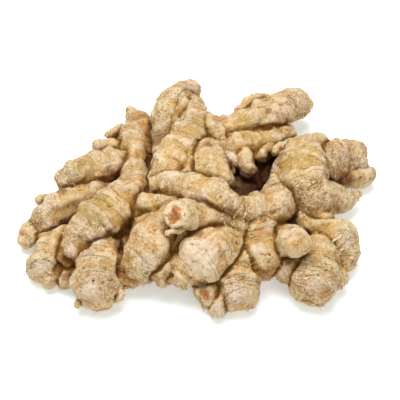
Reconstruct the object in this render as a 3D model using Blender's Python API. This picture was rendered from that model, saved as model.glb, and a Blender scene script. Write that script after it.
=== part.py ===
"""Ginger root: one rhizome of many knobbly fingers, lying on a table.

Every finger is a tube that grows along a few chosen places. The tubes are melted into one body,
and the body's lowest knobs are cut flat where they rest.
The middle of the body is the origin, X runs along its length and the table is at z = 0.
"""

import math

import bmesh
import bpy
import numpy as np
from mathutils import Vector, noise

# Sizes of the growth, in millimetres
MM = 0.001
STEP = 2.0  # between two rings of a tube
SIDES = 20  # round a tube
FIRST_SIDE = (0.31, 0.22, 0.93)  # a direction that no finger grows in, from which the sides are counted
NODE_SPACING = 13.0  # between two swellings of a finger
NODE_SWELLING = 0.06  # of the finger's radius
OVAL = 0.05  # how far a finger is from round
PHASE_STEP = 1.7  # by which the swellings of each finger are turned against the last one's
LUMPS = ((9.0, 1.5, 0.0), (5.5, 0.9, 13.0))  # length, height and shift of the noise of each size of lump
CREASE_DEPTH = 1.6  # where two fingers meet
CREASE_WIDTH = 1.6
CREASE_REACH = 6.0  # how far from a finger its creases are looked for
LEAST_TURN = 0.08  # of the skin, 0 for none and 2 for facing, that gives a crease
TURN_GAIN = 2.5  # how fast a crease deepens with the turn
BLUNTNESS = 2.5  # power of the rounded end: 2 is a ball
DOME_DEPTH = 0.9  # of the end's radius
DOME_TURNS = (20, 40, 58, 74, 86)  # degrees from the edge of the end to its middle, one for each ring
CUT_DEPTH = 0.25  # where the finger was cut off
CUT_FINGERS = ("cut_end", "low_stub")
MELT_SIZE = 1.2  # cell of the grid that melts the tubes together
SOFTENING = 2  # passes that round the creases between fingers
SOFTENING_SHARE = 0.5  # how far each pass moves a point to the middle of its neighbours
TRIANGLES = 11400
SLAB_SIZE = 400.0
SLAB_DEPTH = 40.0

BODY_MIDDLE = (-0.2, 2.6)  # x and y below that lie halfway along and across the body, the origin

# Each finger is a row of places along its middle: x, y, z and half its thickness, in millimetres.
# Its first place is buried in the finger it grows from.
LEFT_HAND = {
    "palm": [
        (-44, 77, 12, 3.5), (-42.5, 73, 12, 5), (-39.5, 67, 12, 8), (-38, 60, 12, 11),
        (-37.5, 52, 12.5, 14), (-38.5, 42, 13, 14), (-40, 31, 15, 11), (-40.5, 20, 18, 9.5),
        (-39.5, 9, 20, 10.5), (-40, -5, 22, 13.5), (-49.5, -17, 21, 16.5), (-60, -27, 20, 16.5),
        (-68, -34, 19, 13.5), (-73, -41, 17, 9),
    ],
    "thick_back": [
        (-43, 33, 12, 10), (-50, 27, 15, 12), (-58, 20, 18, 13), (-66, 18, 18.5, 12.5),
        (-73, 15, 18, 12), (-77, 14, 17, 11),
    ],
    "thick_low": [(-44, 26, 12, 8), (-52, 20, 12, 8.5), (-61, 15, 12, 9), (-69, 12, 13, 8.5)],
    "low_side": [
        (-54, -1, 17, 8.5), (-65, 2, 15, 10), (-74, -1, 13, 10.5), (-84, -6, 12, 10.5),
        (-90, -12, 11, 10),
    ],
    "side_tip": [(-88, -11, 11, 8), (-96, -17, 9, 7.5), (-101, -23, 8, 7.5), (-103, -25, 7, 6)],
    "front_side": [
        (-76, -27, 12, 7), (-83, -32, 12, 8.5), (-88, -42, 11, 10.5), (-90, -50, 10, 10.5),
        (-87, -57, 8, 5),
    ],
    "front_knob": [
        (-53, -29, 18, 8), (-54, -38, 17, 9), (-57, -49, 17, 12.5), (-59, -61, 14, 14.5),
        (-59, -67, 13, 13.5),
    ],
    "knob_right_toe": [(-55, -64, 14, 9), (-49, -71, 11, 6)],
    "knob_left_toe": [(-63, -66, 12, 9), (-67, -73, 9, 5)],
    "front_stub": [(-72, -44, 10, 7), (-77, -51, 8, 7), (-78, -57, 7, 6)],
    "inner_stub": [(-51, -49, 15, 7.5), (-44, -53, 13, 7.5), (-40, -58, 10, 6.5)],
    "palm_bud": [(-68, -36, 15, 6), (-70, -46, 13, 4.5)],
    "top_bud": [(-47, 58, 13, 6), (-53, 56, 14, 4.5), (-56.5, 55, 14, 3.5)],
    "side_bud": [(-50, 43, 15, 6), (-57, 45, 15, 4.5), (-62, 44, 15, 4.5)],
    "low_bud": [(-86, -4, 14, 6), (-92, 0, 13, 4.5), (-95, 0, 13, 4)],
}
MIDDLE = {
    "top_lobe": [
        (-6, 81, 26, 7), (-13, 73, 27, 10.5), (-17.5, 60, 28, 12), (-20.5, 48, 27, 10.5),
        (-22.5, 37, 26, 7.5), (-24.5, 28, 26, 5),
    ],
    "lobe_bridge": [(-12, 70, 28, 9.5), (-12, 60, 29, 10.5), (-14, 51, 29, 9)],
    "main_stem": [
        (-6, 66, 28, 8.5), (-4, 52, 31, 9.5), (-4, 38, 34, 11.5), (-10, 21, 36, 12), (-15, 8, 36, 13),
        (-18, -3, 34, 12.5),
    ],
    "arm": [
        (-25, -9.5, 38, 5.5), (-20, -10, 39, 8), (-14, -13.5, 40, 9.5), (-6, -17, 41, 10.5),
        (2, -20, 42, 11), (9, -24, 42, 11.5), (16, -27.5, 39, 10.5),
    ],
    "back_bud": [(-1, 47, 31, 8), (4, 39, 34, 9), (9, 34, 34, 7.5)],
    "back_stub": [(-3, 54, 26, 7), (5, 57, 22, 6), (11, 58, 21, 4.5)],
    "upper_branch": [
        (-4, 22, 32, 10.5), (3, 15, 34, 12), (6, 7, 36, 13.5), (7, -3, 38, 13.5), (7, -11, 37, 11.5),
    ],
    "upper_bud": [(9, 8, 40, 7), (17, 6, 42, 5), (19, 5, 42, 4.5)],
    "fork": [(-5, 35, 28, 8), (-6, 21, 31, 9.5), (-7, 8, 35, 10), (-8, -2, 36, 10), (-8, -10, 35, 9)],
    "cut_end": [
        (20, -34, 30, 12), (8, -34, 35, 11), (-2, -37.5, 41, 9.3), (-9, -41, 47, 9), (-13, -45, 51, 9),
    ],
    "cut_bud": [(-12, -49, 46, 4), (-16, -53, 48, 3), (-18, -55, 48, 2)],
    "inner_left": [(-14, -22, 35, 9), (-24, -23, 32, 9.5), (-31, -20, 29, 9), (-36, -17, 26, 8)],
    "inner_low": [(-20, -28, 31, 9), (-29, -31, 28, 8.5), (-35, -35, 25, 6.5)],
    "front_left": [(-15, -28, 31, 12), (-20, -36, 28, 13.5), (-26, -45, 25, 15), (-33, -54, 20, 12.5)],
    "front_bridge": [(-8, -30, 33, 10), (-8, -38, 32, 11), (-12, -45, 28, 9)],
    "left_toe": [(-37, -53, 17, 8), (-42, -57, 14, 5)],
    "front_lump": [(-26, -37, 27, 6), (-35, -37, 26, 4.5)],
    "wide_front": [
        (24, -34, 25, 9), (14, -44, 27, 13), (3, -54, 27, 16), (-4, -60, 24, 13), (-9, -64, 21, 8),
    ],
    "wide_toe": [(-9, -57, 22, 9), (-17, -60.5, 19.5, 8), (-20.5, -62.5, 18.5, 6.5)],
    "low_front": [
        (26, -38, 22, 11), (25, -47, 18, 11), (22.5, -57, 15, 12), (21.5, -64, 13, 13),
        (22, -68, 12, 12.5),
    ],
    "low_stub": [(18, -59, 13, 9), (8, -66, 11, 8.5), (2, -72, 10, 9)],
    "low_toe": [(19, -66, 11, 9), (13, -74, 9, 8), (10, -77, 8, 6.5)],
    "ribbed_side": [(26, -34, 25, 9), (28, -43, 22, 9), (28, -52, 18, 9)],
    "pale_stub": [(32, -27, 30, 12), (34, -36, 27, 12.5), (36, -44, 24, 12.5), (37, -50, 21, 11)],
    "rough_stub": [(36, -45, 14, 8), (38, -51, 10, 7)],
    "crossing": [
        (14, -30, 34, 10), (22, -28, 34, 11.5), (31, -27, 32, 12.5), (42, -22, 30, 12.5),
        (53, -6, 25, 12),
    ],
}
RIGHT_HAND = {
    "thick_top": [
        (70, 36, 23, 8.5), (64, 28, 25, 12.5), (60, 14, 27, 16.5), (60, -1, 28, 17.5),
        (66, -10, 26, 14.5),
    ],
    "top_bud": [(68, 31, 25, 7), (72, 37, 25, 5)],
    "pit_bud": [(56, 26, 28, 8), (50, 24, 31, 5), (47, 23, 32, 4.5)],
    "saddle": [(40, -22, 26, 9), (46, -9, 28, 10), (52, 1, 29, 11)],
    "far_body": [(73, 24, 20, 12), (83, 29, 17, 13.5), (90, 31, 16, 12)],
    "far_upper": [(90, 36, 17, 8.5), (98, 39, 16, 6)],
    "far_lower": [(91, 25, 11, 10.5), (99, 25, 10, 8.5)],
    "pointed": [(71, 0, 18, 11), (83, 1, 13, 8.5), (90, 3, 11, 6), (96, 8, 10, 3)],
    "low_neck": [
        (60, -4, 22, 11), (62, -17, 21, 10.5), (68, -26, 18, 11.5), (77, -32, 15, 14),
        (83, -38, 12, 12), (84, -44, 10, 8),
    ],
    "low_knob": [(71, -35, 17, 10), (68, -48, 16, 13.5), (66, -58, 15, 15), (65, -63, 15, 14.5)],
    "knob_side_toe": [(72, -56, 13, 11), (78, -57, 10, 8)],
    "low_toe": [(62, -50, 19, 10), (55, -55, 18, 9), (50, -58, 17, 7.5)],
    "viewer_knob": [(44, -28, 18, 10), (48, -38, 23, 9.5), (51, -46, 30, 9), (53, -53, 37, 9.3)],
}
BACK_HAND = {
    "long_finger": [
        (6, 46, 25, 8), (19, 54, 21, 8.5), (29, 60, 20, 9.5), (40, 66, 20, 10.5), (53, 73, 19, 11),
        (60, 78, 18, 10.5),
    ],
    "finger_toe": [(16, 43, 27, 9), (25, 47, 27, 9), (35, 51, 28, 9), (44, 54, 30, 8), (51, 56, 31, 6.5)],
    "back_lobe": [(28, 68, 20, 7), (34, 77, 18, 6.5), (41, 82, 16, 5.5)],
    "second_finger": [
        (10, 28, 29, 10), (24, 32, 25, 11.5), (37, 38, 23, 10), (49, 45, 21, 8.5), (53, 47, 20, 8),
    ],
    "hanging_stub": [(25, 31, 26, 8), (27, 18, 28, 6.5), (29, 11, 29, 5.5)],
    "pit_stub": [(40, 34, 24, 7), (38, 25, 26, 5)],
}
# Fingers below the ones that show, which carry them
UNDERSIDE = {
    "left_keel": [(-40, 2, 16, 12), (-38, -22, 13, 12), (-34, -36, 12, 10)],
    "middle_keel": [(-40, -6, 15, 12), (-22, -4, 16, 14), (-6, -12, 16, 14), (8, -26, 14, 13)],
    "front_keel": [(8, -26, 16, 13), (-6, -38, 14, 12), (-14, -46, 11, 9)],
    "right_keel": [(8, -26, 16, 13), (28, -18, 13, 13), (46, -10, 14, 14), (62, 4, 15, 13)],
    "pit_floor": [(18, -14, 13, 12), (26, 6, 11, 11), (33, 20, 10, 10), (36, 36, 13, 9)],
    "back_keel": [(-27, 2, 14, 12), (-25, 22, 12, 11), (-14, 40, 13, 11), (-6, 58, 14, 9)],
    "right_foot": [(46, -8, 13, 12), (50, -24, 11, 10), (48, -36, 9, 7)],
    "far_keel": [(60, 0, 15, 12), (54, 18, 15, 13), (62, 34, 15, 10)],
    "back_foot": [(-6, 34, 16, 12), (14, 42, 13, 11), (34, 50, 10, 8)],
    "stem_gap": [(-30, 52, 12, 7), (-32, 31, 12, 7), (-30, 10, 12, 8)],
    "neck_gap": [(-38, -14, 18, 10), (-42, -28, 16, 9), (-42, -38, 14, 8), (-42, -46, 11, 7)],
    "side_gap": [(-90, -26, 8, 6), (-83, -30, 8, 7), (-76, -33, 8, 8)],
    "left_gap": [(-83, -40, 7, 6), (-77, -43, 7, 6), (-70, -43, 8, 7)],
    "front_gap": [(-19, -39, 14, 8), (-23, -47, 10, 7), (-24, -51, 8, 5.5)],
    "pit_side": [(13, 13, 13, 8), (21, 27, 11, 8), (31, 38, 12, 7)],
    "far_pit": [(41, 22, 12, 8), (46, 33, 12, 8)],
    "knob_gap": [(36, -42, 13, 9), (42, -44, 9, 7), (49, -44, 9, 7)],
}
HANDS = {
    "left": LEFT_HAND, "middle": MIDDLE, "right": RIGHT_HAND, "back": BACK_HAND,
    "underside": UNDERSIDE,
}


def end_depth(name):
    """How far a finger's end bulges, as a share of its radius."""
    return CUT_DEPTH if name in CUT_FINGERS else DOME_DEPTH


def spine(places, last_depth):
    """Smooth line through a finger's places with its girth, a point every STEP, and closed ends."""
    places = np.array(places, dtype=float) - [*BODY_MIDDLE, 0, 0]
    before = 2 * places[0] - places[1]
    after = 2 * places[-1] - places[-2]
    knots = np.vstack([before, places, after])
    rows = []
    for a, b, c, d in zip(knots, knots[1:], knots[2:], knots[3:]):
        count = max(2, round(np.linalg.norm(c[:3] - b[:3]) / STEP))
        for t in np.arange(count) / count:
            bend = (2 * a - 5 * b + 4 * c - d) * t**2 + (3 * b - a - 3 * c + d) * t**3
            rows.append(b + 0.5 * ((c - a) * t + bend))
    rows.append(places[-1])
    rows = np.array(rows)
    start_way = (rows[0] - rows[1])[:3]
    end_way = (rows[-1] - rows[-2])[:3]
    start = rounded_end(rows[0], start_way / np.linalg.norm(start_way))
    end = rounded_end(rows[-1], end_way / np.linalg.norm(end_way), last_depth)
    return np.vstack([start[::-1], rows, end])


def rounded_end(last, way, depth=DOME_DEPTH):
    """Points past the last place, where the finger closes in a blunt dome."""
    rows = []
    for turn in np.radians(DOME_TURNS):
        radius = last[3] * math.cos(turn) ** (2 / BLUNTNESS)
        reach = last[3] * math.sin(turn) ** (2 / BLUNTNESS) * depth
        rows.append([*(last[:3] + way * reach), radius])
    return np.array(rows)


def swollen(rows, phase):
    """The girth along a finger, swelling gently between its nodes."""
    along = np.concatenate([[0], np.cumsum(np.linalg.norm(np.diff(rows[:, :3], axis=0), axis=1))])
    swelling = 1 + NODE_SWELLING * np.cos(2 * math.pi * along / NODE_SPACING + phase)
    return rows[:, 3] * swelling


def add_tube(mesh, rows, phase):
    """One finger as a closed tube."""
    girth = swollen(rows, phase)
    middle = rows[:, :3]
    ways = np.gradient(middle, axis=0)
    side = Vector(FIRST_SIDE)
    rings = []
    for centre, way, radius in zip(middle, ways, girth):
        way = Vector(way).normalized()
        side = (side - way * side.dot(way)).normalized()
        other = way.cross(side)
        ring = []
        for i in range(SIDES):
            turn = 2 * math.pi * i / SIDES
            reach = radius * (1 + OVAL * math.cos(2 * turn + phase))
            place = Vector(centre) + (side * math.cos(turn) + other * math.sin(turn)) * reach
            ring.append(mesh.verts.new(place * MM))
        rings.append(ring)
    for ring, following in zip(rings, rings[1:]):
        for i in range(SIDES):
            j = (i + 1) % SIDES
            mesh.faces.new((ring[i], ring[j], following[j], following[i]))
    mesh.faces.new(reversed(rings[0]))
    mesh.faces.new(rings[-1])


def add_modifier(thing, name, kind, **settings):
    """A modifier with its settings, applied at once."""
    modifier = thing.modifiers.new(name, kind)
    for key, value in settings.items():
        setattr(modifier, key, value)
    bpy.context.view_layer.objects.active = thing
    bpy.ops.object.modifier_apply(modifier=name)


def nearness_to_creases(points):
    """1 on the line where two fingers meet and 0 away from it, for points in millimetres."""
    nearest = np.full(len(points), np.inf)
    second = np.full(len(points), np.inf)
    nearest_way = np.zeros((len(points), 3))
    second_way = np.zeros((len(points), 3))
    for fingers in HANDS.values():
        for name, places in fingers.items():
            rows = spine(places, end_depth(name))
            low = (rows[:, :3] - rows[:, 3:]).min(axis=0) - CREASE_REACH
            high = (rows[:, :3] + rows[:, 3:]).max(axis=0) + CREASE_REACH
            near = np.flatnonzero(((points > low) & (points < high)).all(axis=1))
            gaps = points[near, None, :] - rows[None, :, :3]
            lengths = np.linalg.norm(gaps, axis=2)
            depths = lengths - rows[None, :, 3]
            best = depths.argmin(axis=1)[:, None]
            depth = np.take_along_axis(depths, best, axis=1)[:, 0]
            length = np.take_along_axis(lengths, best, axis=1)
            way = np.take_along_axis(gaps, best[:, :, None], axis=1)[:, 0] / np.maximum(length, 0.01)
            closer = depth < nearest[near]
            first = near[closer]
            second_way[first] = nearest_way[first]
            second[first] = nearest[first]
            nearest_way[first] = way[closer]
            nearest[first] = depth[closer]
            between = ~closer & (depth < second[near])
            second_way[near[between]] = way[between]
            second[near[between]] = depth[between]
    turn = 1 - (nearest_way * second_way).sum(axis=1)
    sharpness = np.clip((turn - LEAST_TURN) * TURN_GAIN, 0, 1)
    return np.exp(-(((second - nearest) / CREASE_WIDTH) ** 2)) * sharpness


def shape_skin(thing):
    """Low rounded lumps all over the skin, and a crease wherever two fingers meet."""
    mesh = thing.data
    points = np.array([vertex.co for vertex in mesh.vertices]) / MM
    creases = nearness_to_creases(points) * CREASE_DEPTH
    normals = [vertex.normal.copy() for vertex in mesh.vertices]
    for vertex, normal, crease in zip(mesh.vertices, normals, creases):
        rise = -crease
        for length, height, shift in LUMPS:
            rise += noise.noise(vertex.co / (length * MM) + Vector((shift, shift, shift))) * height
        vertex.co += normal * rise * MM


def skin_material():
    material = bpy.data.materials.new("ginger_skin")
    material.use_nodes = True
    shader = material.node_tree.nodes["Principled BSDF"]
    shader.inputs["Base Color"].default_value = (0.52, 0.34, 0.17, 1.0)
    shader.inputs["Roughness"].default_value = 0.75
    shader.inputs["Metallic"].default_value = 0.0
    return material


def grow_rhizome():
    """All fingers melted into one body."""
    tubes = bmesh.new()
    number = 0
    for fingers in HANDS.values():
        for name, places in fingers.items():
            add_tube(tubes, spine(places, end_depth(name)), PHASE_STEP * number)
            number += 1
    bmesh.ops.recalc_face_normals(tubes, faces=tubes.faces)
    mesh = bpy.data.meshes.new("rhizome")
    tubes.to_mesh(mesh)
    tubes.free()
    rhizome = bpy.data.objects.new("rhizome", mesh)
    bpy.context.collection.objects.link(rhizome)
    add_modifier(rhizome, "melt", "REMESH", mode="VOXEL", voxel_size=MELT_SIZE * MM)
    add_modifier(rhizome, "soften", "SMOOTH", factor=SOFTENING_SHARE, iterations=SOFTENING)
    shape_skin(rhizome)
    add_modifier(rhizome, "triangles", "TRIANGULATE")
    add_modifier(rhizome, "thin_out", "DECIMATE", ratio=TRIANGLES / len(rhizome.data.polygons))
    return rhizome


def keep_largest(thing):
    """Drops every loose scrap and keeps the one big body."""
    mesh = bmesh.new()
    mesh.from_mesh(thing.data)
    waiting = set(mesh.verts)
    bodies = []
    while waiting:
        body = []
        front = [waiting.pop()]
        while front:
            vertex = front.pop()
            body.append(vertex)
            around = {edge.other_vert(vertex) for edge in vertex.link_edges} & waiting
            waiting -= around
            front.extend(around)
        bodies.append(body)
    bodies.sort(key=len)
    for body in bodies[:-1]:
        bmesh.ops.delete(mesh, geom=body, context="VERTS")
    mesh.to_mesh(thing.data)
    mesh.free()


def cut_flat_spots(rhizome):
    """The floor takes a slice off every knob that would sink into it."""
    bpy.ops.mesh.primitive_cube_add(size=1, location=(0, 0, -SLAB_DEPTH / 2 * MM))
    floor = bpy.context.object
    floor.name = "floor_cutter"
    floor.scale = (SLAB_SIZE * MM, SLAB_SIZE * MM, SLAB_DEPTH * MM)
    floor.hide_render = True
    floor.display_type = "WIRE"
    add_modifier(rhizome, "rest", "BOOLEAN", operation="DIFFERENCE", object=floor, solver="EXACT")
    keep_largest(rhizome)


for thing in list(bpy.data.objects):
    bpy.data.objects.remove(thing)
rhizome = grow_rhizome()
cut_flat_spots(rhizome)
rhizome.data.materials.clear()
rhizome.data.materials.append(skin_material())
rhizome.data.shade_smooth()
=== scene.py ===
import math
import random

import bmesh
import bpy
import numpy as np
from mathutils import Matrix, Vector, kdtree, noise
from mathutils.bvhtree import BVHTree


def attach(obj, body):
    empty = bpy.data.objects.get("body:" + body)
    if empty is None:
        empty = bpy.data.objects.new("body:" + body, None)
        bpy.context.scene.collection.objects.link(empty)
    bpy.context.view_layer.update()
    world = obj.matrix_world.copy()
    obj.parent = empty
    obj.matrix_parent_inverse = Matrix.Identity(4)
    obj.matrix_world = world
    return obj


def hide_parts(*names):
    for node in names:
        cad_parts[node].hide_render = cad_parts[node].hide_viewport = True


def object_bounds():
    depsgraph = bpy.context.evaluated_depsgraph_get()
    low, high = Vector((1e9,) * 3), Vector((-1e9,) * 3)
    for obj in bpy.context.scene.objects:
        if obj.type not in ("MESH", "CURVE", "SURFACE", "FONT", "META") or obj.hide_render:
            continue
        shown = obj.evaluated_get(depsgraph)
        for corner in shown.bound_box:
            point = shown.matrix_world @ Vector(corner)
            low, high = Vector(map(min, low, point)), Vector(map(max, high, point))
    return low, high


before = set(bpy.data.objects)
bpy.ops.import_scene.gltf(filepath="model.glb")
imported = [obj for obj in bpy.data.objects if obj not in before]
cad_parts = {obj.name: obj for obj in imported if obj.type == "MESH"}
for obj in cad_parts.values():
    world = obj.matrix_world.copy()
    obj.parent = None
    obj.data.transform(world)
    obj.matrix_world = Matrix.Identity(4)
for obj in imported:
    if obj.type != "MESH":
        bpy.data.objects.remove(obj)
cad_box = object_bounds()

# The rhizome: one living body of fingers that bud from each other, covered by a thin corky skin.
# Every finger is a tube along the places where its middle runs. All tubes are melted into one skin,
# which is then raised, ringed, creased and scarred point by point.
MM = 0.001
RING_STEP = 1.5  # mm between two rings of a tube
SIDES = 24  # round a tube
SWELLING_SPACING = 13.0  # mm between two swellings of a finger
SWELLING = 0.06  # of the finger's radius
OVAL = 0.05  # how far a finger is from round
BLUNTNESS = 2.5  # power of the rounded end: 2 is a ball
DOME_DEPTH = 0.9  # of the end's radius
DOME_TURNS = (20, 40, 58, 74, 86)  # degrees from the edge of the end to its middle, one for each ring
CUT_DEPTH = 0.25  # of the end's radius, where the finger was cut off
CUT_FINGERS = ("cut_end", "low_stub")
PHASE_STEP = 1.7  # by which the swellings of each finger are turned against the last one's
FIRST_SIDE = (0.31, 0.22, 0.93)  # a direction that no finger grows in, from which the sides are counted
BODY_MIDDLE = (-0.2, 2.6)  # x and y below that lie halfway along and across the body, the origin

# Each finger is a row of places along its middle: x, y, z and half its thickness, in millimetres.
# Its first place is buried in the finger it grows from.
LEFT_HAND = {
    "palm": [
        (-44, 77, 12, 3.5), (-42.5, 73, 12, 5), (-39.5, 67, 12, 8), (-38, 60, 12, 11),
        (-37.5, 52, 12.5, 14), (-38.5, 42, 13, 14), (-40, 31, 15, 11), (-40.5, 20, 18, 9.5),
        (-39.5, 9, 20, 10.5), (-40, -5, 22, 13.5), (-49.5, -17, 21, 16.5), (-60, -27, 20, 16.5),
        (-68, -34, 19, 13.5), (-73, -41, 17, 9),
    ],
    "thick_back": [
        (-43, 33, 12, 10), (-50, 27, 15, 12), (-58, 20, 18, 13), (-66, 18, 18.5, 12.5), (-73, 15, 18, 12),
        (-77, 14, 17, 11),
    ],
    "thick_low": [(-44, 26, 12, 8), (-52, 20, 12, 8.5), (-61, 15, 12, 9), (-69, 12, 13, 8.5)],
    "low_side": [
        (-54, -1, 17, 8.5), (-65, 2, 15, 10), (-74, -1, 13, 10.5), (-84, -6, 12, 10.5),
        (-90, -12, 11, 10),
    ],
    "side_tip": [(-88, -11, 11, 8), (-96, -17, 9, 7.5), (-101, -23, 8, 7.5), (-103, -25, 7, 6)],
    "front_side": [
        (-76, -27, 12, 7), (-83, -32, 12, 8.5), (-88, -42, 11, 10.5), (-90, -50, 10, 10.5),
        (-87, -57, 8, 5),
    ],
    "front_knob": [
        (-53, -29, 18, 8), (-54, -38, 17, 9), (-57, -49, 17, 12.5), (-59, -61, 14, 14.5),
        (-59, -67, 13, 13.5),
    ],
    "knob_right_toe": [(-55, -64, 14, 9), (-49, -71, 11, 6)],
    "knob_left_toe": [(-63, -66, 12, 9), (-67, -73, 9, 5)],
    "front_stub": [(-72, -44, 10, 7), (-77, -51, 8, 7), (-78, -57, 7, 6)],
    "inner_stub": [(-51, -49, 15, 7.5), (-44, -53, 13, 7.5), (-40, -58, 10, 6.5)],
    "palm_bud": [(-68, -36, 15, 6), (-70, -46, 13, 4.5)],
    "top_bud": [(-47, 58, 13, 6), (-53, 56, 14, 4.5), (-56.5, 55, 14, 3.5)],
    "side_bud": [(-50, 43, 15, 6), (-57, 45, 15, 4.5), (-62, 44, 15, 4.5)],
    "low_bud": [(-86, -4, 14, 6), (-92, 0, 13, 4.5), (-95, 0, 13, 4)],
}
MIDDLE = {
    "top_lobe": [
        (-6, 81, 26, 7), (-13, 73, 27, 10.5), (-17.5, 60, 28, 12), (-20.5, 48, 27, 10.5),
        (-22.5, 37, 26, 7.5), (-24.5, 28, 26, 5),
    ],
    "lobe_bridge": [(-12, 70, 28, 9.5), (-12, 60, 29, 10.5), (-14, 51, 29, 9)],
    "main_stem": [
        (-6, 66, 28, 8.5), (-4, 52, 31, 9.5), (-4, 38, 34, 11.5), (-10, 21, 36, 12), (-15, 8, 36, 13),
        (-18, -3, 34, 12.5),
    ],
    "arm": [
        (-25, -9.5, 38, 5.5), (-20, -10, 39, 8), (-14, -13.5, 40, 9.5), (-6, -17, 41, 10.5),
        (2, -20, 42, 11), (9, -24, 42, 11.5), (16, -27.5, 39, 10.5),
    ],
    "back_bud": [(-1, 47, 31, 8), (4, 39, 34, 9), (9, 34, 34, 7.5)],
    "back_stub": [(-3, 54, 26, 7), (5, 57, 22, 6), (11, 58, 21, 4.5)],
    "upper_branch": [
        (-4, 22, 32, 10.5), (3, 15, 34, 12), (6, 7, 36, 13.5), (7, -3, 38, 13.5), (7, -11, 37, 11.5),
    ],
    "upper_bud": [(9, 8, 40, 7), (17, 6, 42, 5), (19, 5, 42, 4.5)],
    "fork": [(-5, 35, 28, 8), (-6, 21, 31, 9.5), (-7, 8, 35, 10), (-8, -2, 36, 10), (-8, -10, 35, 9)],
    "cut_end": [
        (20, -34, 30, 12), (8, -34, 35, 11), (-2, -37.5, 41, 9.3), (-9, -41, 47, 9), (-13, -45, 51, 9),
    ],
    "cut_bud": [(-12, -49, 46, 4), (-16, -53, 48, 3), (-18, -55, 48, 2)],
    "inner_left": [(-14, -22, 35, 9), (-24, -23, 32, 9.5), (-31, -20, 29, 9), (-36, -17, 26, 8)],
    "inner_low": [(-20, -28, 31, 9), (-29, -31, 28, 8.5), (-35, -35, 25, 6.5)],
    "front_left": [(-15, -28, 31, 12), (-20, -36, 28, 13.5), (-26, -45, 25, 15), (-33, -54, 20, 12.5)],
    "front_bridge": [(-8, -30, 33, 10), (-8, -38, 32, 11), (-12, -45, 28, 9)],
    "left_toe": [(-37, -53, 17, 8), (-42, -57, 14, 5)],
    "front_lump": [(-26, -37, 27, 6), (-35, -37, 26, 4.5)],
    "wide_front": [
        (24, -34, 25, 9), (14, -44, 27, 13), (3, -54, 27, 16), (-4, -60, 24, 13), (-9, -64, 21, 8),
    ],
    "wide_toe": [(-9, -57, 22, 9), (-17, -60.5, 19.5, 8), (-20.5, -62.5, 18.5, 6.5)],
    "low_front": [
        (26, -38, 22, 11), (25, -47, 18, 11), (22.5, -57, 15, 12), (21.5, -64, 13, 13),
        (22, -68, 12, 12.5),
    ],
    "low_stub": [(18, -59, 13, 9), (8, -66, 11, 8.5), (2, -72, 10, 9)],
    "low_toe": [(19, -66, 11, 9), (13, -74, 9, 8), (10, -77, 8, 6.5)],
    "ribbed_side": [(26, -34, 25, 9), (28, -43, 22, 9), (28, -52, 18, 9)],
    "pale_stub": [(32, -27, 30, 12), (34, -36, 27, 12.5), (36, -44, 24, 12.5), (37, -50, 21, 11)],
    "rough_stub": [(36, -45, 14, 8), (38, -51, 10, 7)],
    "crossing": [
        (14, -30, 34, 10), (22, -28, 34, 11.5), (31, -27, 32, 12.5), (42, -22, 30, 12.5),
        (53, -6, 25, 12),
    ],
}
RIGHT_HAND = {
    "thick_top": [
        (70, 36, 23, 8.5), (64, 28, 25, 12.5), (60, 14, 27, 16.5), (60, -1, 28, 17.5),
        (66, -10, 26, 14.5),
    ],
    "top_bud": [(68, 31, 25, 7), (72, 37, 25, 5)],
    "pit_bud": [(56, 26, 28, 8), (50, 24, 31, 5), (47, 23, 32, 4.5)],
    "saddle": [(40, -22, 26, 9), (46, -9, 28, 10), (52, 1, 29, 11)],
    "far_body": [(73, 24, 20, 12), (83, 29, 17, 13.5), (90, 31, 16, 12)],
    "far_upper": [(90, 36, 17, 8.5), (98, 39, 16, 6)],
    "far_lower": [(91, 25, 11, 10.5), (99, 25, 10, 8.5)],
    "pointed": [(71, 0, 18, 11), (83, 1, 13, 8.5), (90, 3, 11, 6), (96, 8, 10, 3)],
    "low_neck": [
        (60, -4, 22, 11), (62, -17, 21, 10.5), (68, -26, 18, 11.5), (77, -32, 15, 14), (83, -38, 12, 12),
        (84, -44, 10, 8),
    ],
    "low_knob": [(71, -35, 17, 10), (68, -48, 16, 13.5), (66, -58, 15, 15), (65, -63, 15, 14.5)],
    "knob_side_toe": [(72, -56, 13, 11), (78, -57, 10, 8)],
    "low_toe": [(62, -50, 19, 10), (55, -55, 18, 9), (50, -58, 17, 7.5)],
    "viewer_knob": [(44, -28, 18, 10), (48, -38, 23, 9.5), (51, -46, 30, 9), (53, -53, 37, 9.3)],
}
BACK_HAND = {
    "long_finger": [
        (6, 46, 25, 8), (19, 54, 21, 8.5), (29, 60, 20, 9.5), (40, 66, 20, 10.5), (53, 73, 19, 11),
        (60, 78, 18, 10.5),
    ],
    "finger_toe": [(16, 43, 27, 9), (25, 47, 27, 9), (35, 51, 28, 9), (44, 54, 30, 8), (51, 56, 31, 6.5)],
    "back_lobe": [(28, 68, 20, 7), (34, 77, 18, 6.5), (41, 82, 16, 5.5)],
    "second_finger": [
        (10, 28, 29, 10), (24, 32, 25, 11.5), (37, 38, 23, 10), (49, 45, 21, 8.5), (53, 47, 20, 8),
    ],
    "hanging_stub": [(25, 31, 26, 8), (27, 18, 28, 6.5), (29, 11, 29, 5.5)],
    "pit_stub": [(40, 34, 24, 7), (38, 25, 26, 5)],
}
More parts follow.
